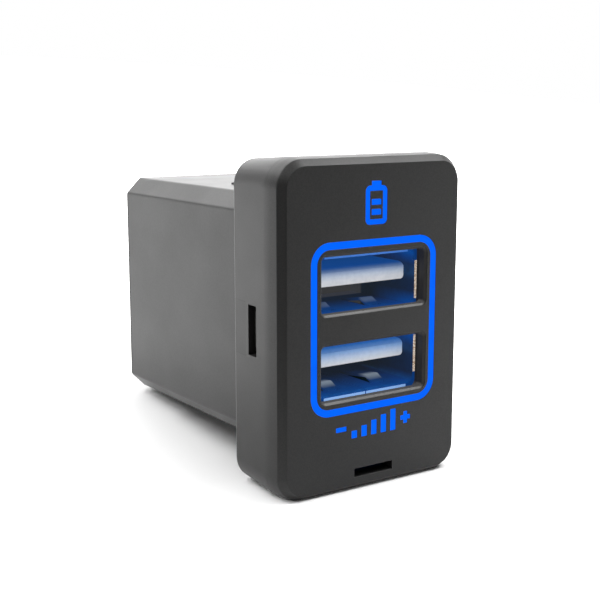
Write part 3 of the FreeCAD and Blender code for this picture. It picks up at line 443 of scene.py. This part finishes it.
def whiteInsulator():
    look = insulatorLook
    material, tree, shader = newMaterial("whiteInsulator")
    point = objectPoint(tree)
    height = axesOf(tree, point)[2]
    tones = []
    # painted shade and painted blue light on each tongue, by height
    for level in ("upper", "lower"):
        top = look[level + "Top"]
        tones.append(ramp(tree, ranged(tree, height, 0.0, 1.0, top, top - look["height"]), look[level]))
    tone = mixColour(tree, calc(tree, "LESS_THAN", height, 0.0), *tones)
    mottle = mottled(tree, noiseAt(tree, point, look["mottleSize"]), 0.0, look["mottleShare"])
    tone = mixColour(tree, mottle, tone, look["mottle"])
    half = look["height"] / 2
    tongues = [near(tree, height, look[level + "Top"] - half, half, look["soft"])
               for level in ("upper", "lower")]
    onTongue = calc(tree, "MAXIMUM", *tongues)
    # outside the tongues: painted blue light above the upper one, painted shade elsewhere
    over = calc(tree, "GREATER_THAN", height, look["upperTop"])
    under = mixColour(tree, calc(tree, "GREATER_THAN", height, 0.0), look["below"], look["belowUpper"])
    tone = mixColour(tree, onTongue, mixColour(tree, over, under, look["above"]), tone)
    # the surface keeps part of the painted tone, and gives it off as painted light
    tree.links.new(mixColour(tree, look["base"], (0.0, 0.0, 0.0, 1.0), tone), shader.inputs["Base Color"])
    tree.links.new(tone, shader.inputs["Emission Color"])
    shader.inputs["Emission Strength"].default_value = look["lift"]
    rough = ranged(tree, noiseAt(tree, point, look["grain"]), *look["roughness"])
    tree.links.new(rough, shader.inputs["Roughness"])
    size, depth = look["dimple"]
    bumped(tree, shader, noiseAt(tree, point, size), depth)
    return material


metalLook = {
    "stain": 0.8 * mm,
    "stainWindow": (0.4, 0.7),
    "grain": 0.08 * mm,
    "dent": (0.06 * mm, 0.002 * mm),                # size and depth
}
solidLook = {
    "patch": 1.2 * mm,
    "dimple": (0.15 * mm, 0.006 * mm),              # size and depth
}


def plainMetal(name, colour, dull, rough):
    look = metalLook
    material, tree, shader = newMaterial(name)
    point = objectPoint(tree)
    stain = mottled(tree, noiseAt(tree, point, look["stain"], 4.0), 0.0, 1.0, look["stainWindow"])
    tree.links.new(mixColour(tree, stain, colour, dull), shader.inputs["Base Color"])
    shader.inputs["Metallic"].default_value = 1.0
    tree.links.new(ranged(tree, noiseAt(tree, point, look["grain"]), *rough), shader.inputs["Roughness"])
    size, depth = look["dent"]
    bumped(tree, shader, noiseAt(tree, point, size), depth)
    return material


def plainSolid(name, colour, second, rough):
    look = solidLook
    material, tree, shader = newMaterial(name)
    point = objectPoint(tree)
    patch = noiseAt(tree, point, look["patch"])
    tree.links.new(mixColour(tree, patch, colour, second), shader.inputs["Base Color"])
    tree.links.new(ranged(tree, patch, *rough), shader.inputs["Roughness"])
    size, depth = look["dimple"]
    bumped(tree, shader, noiseAt(tree, point, size), depth)
    return material


boardLook = {
    "mask": (0.012, 0.085, 0.03, 1.0),
    "second": (0.018, 0.11, 0.04, 1.0),
    "roughness": (0.25, 0.4),
    "lampLight": (0.004, 0.034, 0.160, 1.0),        # on the lamp board's front, from its own lamps
    "lampDepth": 0.1 * mm,
}


def solderMask():
    look = boardLook
    material = plainSolid("solderMask", look["mask"], look["second"], look["roughness"])
    tree = material.node_tree
    shader = tree.nodes["Principled BSDF"]
    y = axesOf(tree, objectPoint(tree))[1]
    shader.inputs["Emission Color"].default_value = look["lampLight"]
    lit = calc(tree, "LESS_THAN", y, lampBoardY + look["lampDepth"])
    tree.links.new(lit, shader.inputs["Emission Strength"])
    return material


materials = {
    "bezel_plastic": blackPlastic("bezelGrain", bezel=True),
    "housing_plastic": blackPlastic("housingGrain", 0.02, 1.5),
    "light_guide": lightGuide(),
    "plated_steel": platedSteel(),
    "white_insulator": whiteInsulator(),
    "gold_contact": plainMetal("goldFlash", (0.95, 0.68, 0.28, 1.0), (0.70, 0.46, 0.18, 1.0), (0.18, 0.34)),
    "tinned_brass": plainMetal("tinnedPin", (0.72, 0.70, 0.66, 1.0), (0.48, 0.46, 0.43, 1.0), (0.22, 0.4)),
    "can_aluminium": plainMetal("canAluminium", (0.8, 0.8, 0.82, 1.0), (0.6, 0.6, 0.62, 1.0), (0.25, 0.4)),
    "circuit_board": solderMask(),
    "inlet_plastic": plainSolid("naturalNylon", (0.62, 0.58, 0.48, 1.0), (0.7, 0.67, 0.58, 1.0), (0.35, 0.5)),
    "ferrite": plainSolid("ferriteGrey", (0.045, 0.045, 0.05, 1.0), (0.07, 0.07, 0.075, 1.0), (0.5, 0.65)),
    "chip_resin": plainSolid("chipResin", (0.02, 0.02, 0.02, 1.0), (0.032, 0.032, 0.032, 1.0), (0.45, 0.6)),
    "fuse_ceramic": plainSolid("fuseCeramic", (0.72, 0.70, 0.62, 1.0), (0.8, 0.78, 0.72, 1.0), (0.4, 0.55)),
    "lamp_package": plainSolid("lampResin", (0.75, 0.76, 0.78, 1.0), (0.85, 0.86, 0.88, 1.0), (0.2, 0.35)),
}
print("materials made:", len(materials))


# Pieces

polishLook = {
    "merge": 0.0005 * mm,
    "flat": math.radians(0.6),
    "sharp": math.radians(24.0),
    "outer": 0.905,                 # share of the half size from which an edge counts as outer
    "foldSegments": 4,
    "edgeSegments": 2,
}


def markOuterEdges(mesh, outer):
    # bevel weight 1 on the sharp edges that lie in an outer plane of the piece, 0 on the rest
    points = np.zeros(len(mesh.vertices) * 3)
    mesh.vertices.foreach_get("co", points)
    points = points.reshape(-1, 3)
    ends = np.zeros(len(mesh.edges) * 2, int)
    mesh.edges.foreach_get("vertices", ends)
    ends = ends.reshape(-1, 2)
    sharp = np.zeros(len(mesh.edges), bool)
    mesh.edges.foreach_get("use_edge_sharp", sharp)
    low, high = points.min(axis=0), points.max(axis=0)
    slack = 0.01 * mm
    marked = np.zeros(len(mesh.edges), bool)
    planes = [(axis, level) for axis in (0, 1, 2) for level in (low[axis], high[axis])]
    for axis, level in planes + [(1, rimY)]:
        onPlane = np.abs(points[:, axis] - level) < slack
        marked |= onPlane[ends[:, 0]] & onPlane[ends[:, 1]]
    middle = points[ends].mean(axis=1)
    reach = np.abs((middle - (low + high) / 2) / ((high - low) / 2))
    marked &= sharp & (np.maximum(reach[:, 0], reach[:, 2]) > outer)
    marked &= middle[:, 1] > low[1] + slack
    weights = mesh.attributes.new("bevel_weight_edge", "FLOAT", "EDGE")
    weights.data.foreach_set("value", marked.astype(float))
    return int(marked.sum())


def polished(nodeName, pieceName, edge, fold=0.0):
    # a merged copy of a moulded or stamped solid, with its arcs shaded round and its sharp edges broken
    look = polishLook
    mesh = nodes[nodeName].data.copy()
    mesh.name = pieceName
    work = bmesh.new()
    work.from_mesh(mesh)
    bmesh.ops.remove_doubles(work, verts=work.verts, dist=look["merge"])
    bmesh.ops.dissolve_limit(work, angle_limit=look["flat"], verts=work.verts, edges=work.edges)
    work.to_mesh(mesh)
    work.free()
    mesh.polygons.foreach_set("use_smooth", np.ones(len(mesh.polygons), bool))
    mesh.set_sharp_from_angle(angle=look["sharp"])
    piece = linkObject(pieceName, mesh)
    if fold:
        print(pieceName, "outer edges rounded:", markOuterEdges(mesh, look["outer"]))
        rounding = piece.modifiers.new("roundedFolds", "BEVEL")
        rounding.width = fold
        rounding.segments = look["foldSegments"]
        rounding.limit_method = "WEIGHT"
        rounding.use_clamp_overlap = False
    if edge:
        bevel = piece.modifiers.new("brokenEdges", "BEVEL")
        bevel.width = edge
        bevel.segments = look["edgeSegments"]
        bevel.limit_method = "ANGLE"
        bevel.angle_limit = look["sharp"]
        bevel.use_clamp_overlap = True
        bevel.harden_normals = True
    weighted = piece.modifiers.new("flatFaces", "WEIGHTED_NORMAL")
    weighted.keep_sharp = True
    weighted.weight = 100
    return piece


slotOf = {part["node"]: part["material_slot"] for part in frame["record"]["subparts"]}
finishedNodes = {
    # node: (piece, width of its broken edges, width of its rounded folds)
    "front_bezel": ("bezelMoulding", 0.06 * mm, 0.20 * mm),
    "rear_housing": ("housingMoulding", 0.05 * mm, 0.62 * mm),
    "ring_light": ("ringLightGuide", 0.0),
    "symbol_lens": ("symbolWindow", 0.0),
    "marks_lens": ("marksWindow", 0.0),
    "usb_shell": ("socketShell", 0.03 * mm),
    "usb_divider": ("socketDivider", 0.03 * mm),
    "usb_insulator": ("socketInsulator", 0.08 * mm),
    "power_inlet": ("inletShroud", 0.08 * mm),
}
for nodeName, (pieceName, *edges) in finishedNodes.items():
    place(polished(nodeName, pieceName, *edges), slotOf[nodeName], materials[slotOf[nodeName]], nodeName)
for nodeName, node in nodes.items():
    if nodeName not in finishedNodes:
        node.data.materials.clear()
        node.data.materials.append(materials[slotOf[nodeName]])
print("pieces finished:", len(finishedNodes))


# Stage: the part stands on the collar's bottom, on a floor that lies level under the collar and rises
# behind it towards the tip of the body's bottom latch

stageLook = {
    "lean": 0.93,                   # share of the slope that touches both
    "bend": 2.0 * mm,               # length over which the floor turns from level to sloping
    "half": 30.0,                   # half the floor's side
    "fineRows": (-20.0 * mm, 40.0 * mm, 61),        # where the rows lie close together, and how many
    "coarseRows": (0.1, 1.0),       # and the rows beyond, to the front and the rear
    "seen": (1.0, 1.0, 1.0, 1.0),   # for the camera, so that the open floor is white
    "bounce": (0.95, 0.95, 0.95, 1.0),              # behind the part, for every other ray
    "bounceFront": (0.20, 0.20, 0.20, 1.0),         # in front of it and to its left
    "bounceSlant": 0.8,
    "bounceRange": (-70.0 * mm, 5.0 * mm),
    "shine": (0.24, 0.54),                          # glow of the floor in reflections, near and far behind
    "shineNear": (-12.0 * mm, -4.0 * mm),
    "shineFar": (12.0 * mm, 48.0 * mm),
    "footprint": (11.5 * mm, 20.0 * mm, 8.5 * mm),  # half width, half depth and middle y of the part
    "liftReach": 44.0 * mm,         # the floor is lifted to white away from the part
    "frontLift": (0.75, -13.0 * mm, -9.4 * mm),     # and at once in front of the face
    "fade": (0.16, 0.40),           # from here out the floor is the backdrop's plain white
    "roughness": 0.9,
}


def nodePoints(nodeName):
    mesh = nodes[nodeName].data
    points = np.zeros(len(mesh.vertices) * 3)
    mesh.vertices.foreach_get("co", points)
    return points.reshape(-1, 3)


def restingPlane():
    # the line in the side view that touches the collar and the body from below, found by closing in on it
    front = nodePoints("front_bezel")
    rear = nodePoints("rear_housing")
    slope = 0.0
    for _ in range(6):
        low = front[np.argmin(front[:, 2] - slope * front[:, 1])]
        back = rear[np.argmin(rear[:, 2] - slope * rear[:, 1])]
        slope = (back[2] - low[2]) / (back[1] - low[1])
    return low, slope


def whiteStage():
    look = stageLook
    material, tree, shader = newMaterial("paleFloor")
    output = tree.nodes["Material Output"]
    rays = addNode(tree, "ShaderNodeLightPath").outputs
    seen = rays["Is Camera Ray"]
    x, y = axesOf(tree, objectPoint(tree))[:2]
    slanted = calc(tree, "ADD", y, calc(tree, "MULTIPLY", x, look["bounceSlant"]))
    behind = ranged(tree, slanted, 0.0, 1.0, *look["bounceRange"])
    unseen = mixColour(tree, behind, look["bounceFront"], look["bounce"])
    tree.links.new(mixColour(tree, seen, unseen, look["seen"]), shader.inputs["Base Color"])
    shader.inputs["Roughness"].default_value = look["roughness"]
    shader.inputs["Specular IOR Level"].default_value = 0.0
    halfX, halfY, middleY = look["footprint"]
    outX = calc(tree, "MAXIMUM", calc(tree, "SUBTRACT", calc(tree, "ABSOLUTE", x), halfX), 0.0)
    fromMiddle = calc(tree, "ABSOLUTE", calc(tree, "SUBTRACT", y, middleY))
    outY = calc(tree, "MAXIMUM", calc(tree, "SUBTRACT", fromMiddle, halfY), 0.0)
    squares = calc(tree, "ADD", calc(tree, "MULTIPLY", outX, outX), calc(tree, "MULTIPLY", outY, outY))
    away = calc(tree, "SQRT", squares)
    ahead, full, none = look["frontLift"]
    lift = calc(tree, "MAXIMUM", ranged(tree, away, 0.0, 1.0, 0.0, look["liftReach"]),
                ranged(tree, y, ahead, 0.0, full, none))
    lift = calc(tree, "MULTIPLY", lift, seen)
    shine = calc(tree, "ADD", ranged(tree, y, 0.0, look["shine"][0], *look["shineNear"]),
                 ranged(tree, y, 0.0, look["shine"][1], *look["shineFar"]))
    shine = calc(tree, "MULTIPLY", shine, rays["Is Glossy Ray"])
    tree.links.new(calc(tree, "ADD", lift, shine), shader.inputs["Emission Strength"])
    shader.inputs["Emission Color"].default_value = (1.0, 1.0, 1.0, 1.0)
    white = addNode(tree, "ShaderNodeEmission", {"Color": (1.0, 1.0, 1.0, 1.0), "Strength": 1.0})
    far = calc(tree, "MULTIPLY", ranged(tree, away, 0.0, 1.0, *look["fade"]), seen)
    both = addNode(tree, "ShaderNodeMixShader", {0: far})
    tree.links.new(shader.outputs[0], both.inputs[1])
    tree.links.new(white.outputs[0], both.inputs[2])
    tree.links.new(both.outputs[0], output.inputs["Surface"])
    return material


def buildStage():
    # the height is the collar's low point plus the slope times half of this sum: the distance behind
    # that point, plus the root of its square and the bend's square added up, less the bend
    low, slope = restingPlane()
    half, bend = stageLook["half"], stageLook["bend"]
    slope *= stageLook["lean"]
    outer = np.array([*stageLook["coarseRows"], half])
    rows = np.concatenate([-outer[::-1], np.linspace(*stageLook["fineRows"]), outer])
    x, y = np.meshgrid(np.array([-half, half]), rows)
    back = y - low[1]
    z = low[2] + slope * (back + np.sqrt(back ** 2 + bend ** 2) - bend) / 2
    floor = gridPiece("floor", np.stack([x, y, z], axis=-1))
    floor.data.polygons.foreach_set("use_smooth", np.ones(len(floor.data.polygons), bool))
    floor.data.materials.append(whiteStage())
    print("floor slope behind in degrees:", round(math.degrees(math.atan(slope)), 2))


buildStage()

# Light: broad boxes behind, above and to the left, so that the sides and the top shine, and the face
# stays dark

lightBoxes = {
    # name: (azimuth from the face, elevation, width, height, power)
    "boxBack": (180.0, 42.0, 1.00, 0.55, 5.8),
    "boxBackLeft": (-152.0, 13.0, 0.70, 0.32, 0.5),
    "boxBackRight": (145.0, 12.0, 0.90, 0.35, 3.8),
    "boxHigh": (72.0, 54.0, 0.42, 0.36, 5.9),
    "boxLeftHigh": (-115.0, 52.0, 0.60, 0.40, 4.0),
    "boxFront": (10.0, 62.0, 0.80, 0.45, 1.7),
    "boxRight": (65.0, 4.0, 0.50, 0.20, 0.8),
}
boxDistance = 0.80
worldFill = 0.12                    # the plain light from everywhere else


def addBox(name, azimuth, elevation, width, height, power):
    # azimuth 0 is straight in front of the face, and plus is to the right
    turn = math.radians(azimuth)
    rise = math.radians(elevation)
    level = math.cos(rise)
    spot = Vector((math.sin(turn) * level, -math.cos(turn) * level, math.sin(rise))) * boxDistance
    lamp = bpy.data.lights.new(name, "AREA")
    lamp.shape = "RECTANGLE"
    lamp.size = width
    lamp.size_y = height
    lamp.energy = power
    box = linkObject(name, lamp)
    box.location = spot
    box.rotation_euler = (-spot).to_track_quat("-Z", "Y").to_euler()
    box.visible_camera = False


def buildWorld():
    world = bpy.data.worlds.new("studio")
    scene.world = world
    world.use_nodes = True
    tree = world.node_tree
    tree.nodes.clear()
    seen = addNode(tree, "ShaderNodeLightPath").outputs["Is Camera Ray"]
    dim = addNode(tree, "ShaderNodeBackground", {"Color": (1.0, 1.0, 1.0, 1.0), "Strength": worldFill})
    white = addNode(tree, "ShaderNodeBackground", {"Color": (1.0, 1.0, 1.0, 1.0), "Strength": 1.0})
    both = addNode(tree, "ShaderNodeMixShader", {0: seen})
    tree.links.new(dim.outputs[0], both.inputs[1])
    tree.links.new(white.outputs[0], both.inputs[2])
    output = addNode(tree, "ShaderNodeOutputWorld")
    tree.links.new(both.outputs[0], output.inputs["Surface"])


for name, box in lightBoxes.items():
    addBox(name, *box)
buildWorld()

# Camera at the photograph's viewing angle

cameraLook = {
    "azimuth": math.radians(-34.35),
    "elevation": math.radians(10.22),
    "distance": 112.86 * mm,
    "aim": Vector((-5.77 * mm, faceY + 5.0 * mm, 2.49 * mm)),
    "lens": 66.9,
    "sensor": 36.0,
    "clip": 0.005,
}


def buildCamera():
    look = cameraLook
    lens = bpy.data.cameras.new("camera")
    lens.sensor_width = look["sensor"]
    lens.lens = look["lens"]
    lens.clip_start = look["clip"]
    camera = linkObject("camera", lens)
    level = math.cos(look["elevation"]) * look["distance"]
    offset = Vector((math.sin(look["azimuth"]) * level, -math.cos(look["azimuth"]) * level,
                     math.sin(look["elevation"]) * look["distance"]))
    camera.location = look["aim"] + offset
    camera.rotation_euler = (-offset).to_track_quat("-Z", "Y").to_euler()
    scene.camera = camera


buildCamera()
scene.view_settings.view_transform = "Standard"
